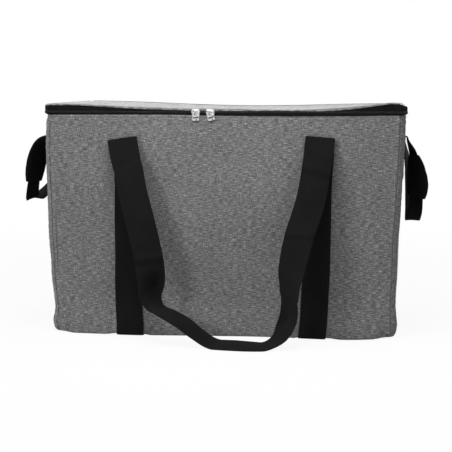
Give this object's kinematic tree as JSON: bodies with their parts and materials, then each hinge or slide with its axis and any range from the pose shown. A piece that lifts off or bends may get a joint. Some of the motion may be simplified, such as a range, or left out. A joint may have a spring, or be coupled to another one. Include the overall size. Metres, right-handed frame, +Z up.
{
  "type": "insulated cooler bag",
  "caption": "Soft box-shaped insulated cooler bag with a zip-round lid on a fabric hinge, long webbing handles, padded side grab handles and a foil-lined inside.",
  "frame": {"origin": "middle of the base, on the surface that the bag stands on", "axes": "+X to the bag's right seen from the front, +Y to the back, +Z up"},
  "size_m": [0.7041, 0.5667, 0.385],
  "materials": {
    "outer_fabric": "heathered grey polyester weave",
    "foam": "closed-cell foam board",
    "foil_liner": "metallised foil film",
    "webbing": "black woven webbing",
    "zip_tape": "black woven tape",
    "zip_coil": "dark nylon coil",
    "metal": "bright nickel plate"
  },
  "bodies": {
    "body": {"front_panel": "outer_fabric", "right_side_panel": "outer_fabric", "back_panel": "outer_fabric", "left_side_panel": "outer_fabric", "base_panel": "outer_fabric", "base_foam": "foam", "front_foam": "foam", "right_foam": "foam", "back_foam": "foam", "left_foam": "foam", "inner_liner": "foil_liner", "rim_binding": "zip_tape", "lid_hinge_tape": "zip_tape", "body_zip_tape": "zip_tape", "body_zip_coil": "zip_coil", "front_left_strap": "webbing", "front_right_strap": "webbing", "rear_left_strap": "webbing", "rear_right_strap": "webbing", "base_left_strap": "webbing", "base_right_strap": "webbing", "front_left_fold": "webbing", "front_right_fold": "webbing", "rear_left_fold": "webbing", "rear_right_fold": "webbing", "right_front_anchor": "webbing", "right_rear_anchor": "webbing", "left_front_anchor": "webbing", "left_rear_anchor": "webbing", "right_front_fold": "webbing", "right_rear_fold": "webbing", "left_front_fold": "webbing", "left_rear_fold": "webbing"},
    "lid": {"lid_cover": "outer_fabric", "lid_foam": "foam", "lid_liner": "foil_liner", "lid_zip_tape": "zip_tape", "lid_zip_coil": "zip_coil"},
    "front_handle": {"front_handle": "webbing"},
    "rear_handle": {"rear_handle": "webbing"},
    "left_grab": {"left_grab_handle": "webbing", "left_grab_sleeve": "webbing"},
    "right_grab": {"right_grab_handle": "webbing", "right_grab_sleeve": "webbing"},
    "left_slider": {"left_slider": "metal"},
    "right_slider": {"right_slider": "metal"},
    "left_pull": {"left_pull": "metal"},
    "right_pull": {"right_pull": "metal"}
  },
  "joints": [
    {"name": "lid_hinge", "type": "hinge", "parent": "body", "child": "lid", "pos_m": [0, 0.17615, 0.38385], "axis": [-1, 0, 0], "range_deg": [0, 235]},
    {"name": "front_handle_swing", "type": "hinge", "parent": "body", "child": "front_handle", "pos_m": [0, -0.17766, 0.33], "axis": [-1, 0, 0], "range_deg": [0, 165], "deforming": ["front_left_fold", "front_right_fold"]},
    {"name": "rear_handle_swing", "type": "hinge", "parent": "body", "child": "rear_handle", "pos_m": [0, 0.17766, 0.33], "axis": [-1, 0, 0], "range_deg": [-165, 0], "deforming": ["rear_left_fold", "rear_right_fold"]},
    {"name": "left_grab_swing", "type": "hinge", "parent": "body", "child": "left_grab", "pos_m": [-0.30394, 0, 0.33], "axis": [0, 1, 0], "range_deg": [0, 110], "deforming": ["left_front_fold", "left_rear_fold"]},
    {"name": "right_grab_swing", "type": "hinge", "parent": "body", "child": "right_grab", "pos_m": [0.30394, 0, 0.33], "axis": [0, -1, 0], "range_deg": [0, 130], "deforming": ["right_front_fold", "right_rear_fold"]},
    {"name": "left_slider_slide", "type": "slide", "parent": "body", "child": "left_slider", "axis": [1, 0, 0], "range_m": [-0.23, 0.009]},
    {"name": "right_slider_slide", "type": "slide", "parent": "body", "child": "right_slider", "axis": [1, 0, 0], "range_m": [0, 0.296]},
    {"name": "left_pull_swing", "type": "hinge", "parent": "left_slider", "child": "left_pull", "pos_m": [-0.045, -0.1789, 0.378], "axis": [-1, 0, 0], "range_deg": [0, 165]},
    {"name": "right_pull_swing", "type": "hinge", "parent": "right_slider", "child": "right_pull", "pos_m": [-0.021, -0.1789, 0.378], "axis": [-1, 0, 0], "range_deg": [0, 165]}
  ]
}
